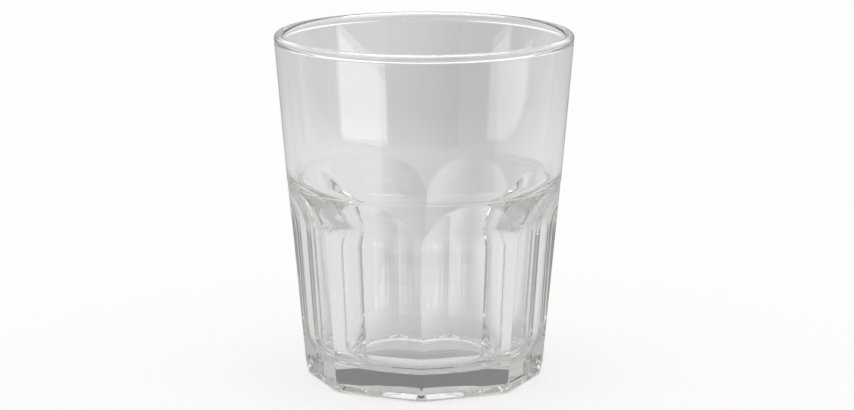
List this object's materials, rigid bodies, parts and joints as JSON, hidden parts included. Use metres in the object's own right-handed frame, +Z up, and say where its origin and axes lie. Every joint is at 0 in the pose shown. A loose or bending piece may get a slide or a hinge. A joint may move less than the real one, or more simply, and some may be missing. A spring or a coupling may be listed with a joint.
{
  "type": "juice glass",
  "caption": "Clear juice tumbler: a thin round upper wall with a rounded lip over a faceted lower body with arched facet tops, standing on a flat base to hold a cold drink.",
  "frame": {"origin": "on the axis of the glass, in the plane of the flat ring that it stands on", "axes": "+Z up along the axis from the underside to the lip; a corner of the faceted base points to -Y, the side seen in the picture"},
  "size_m": [0.0772, 0.0772, 0.09],
  "materials": {
    "clear_glass": "clear, polished"
  },
  "bodies": {
    "root": {"rim_bead": "clear_glass", "upper_wall": "clear_glass", "facet_wall": "clear_glass", "base_slab": "clear_glass"}
  },
  "joints": []
}
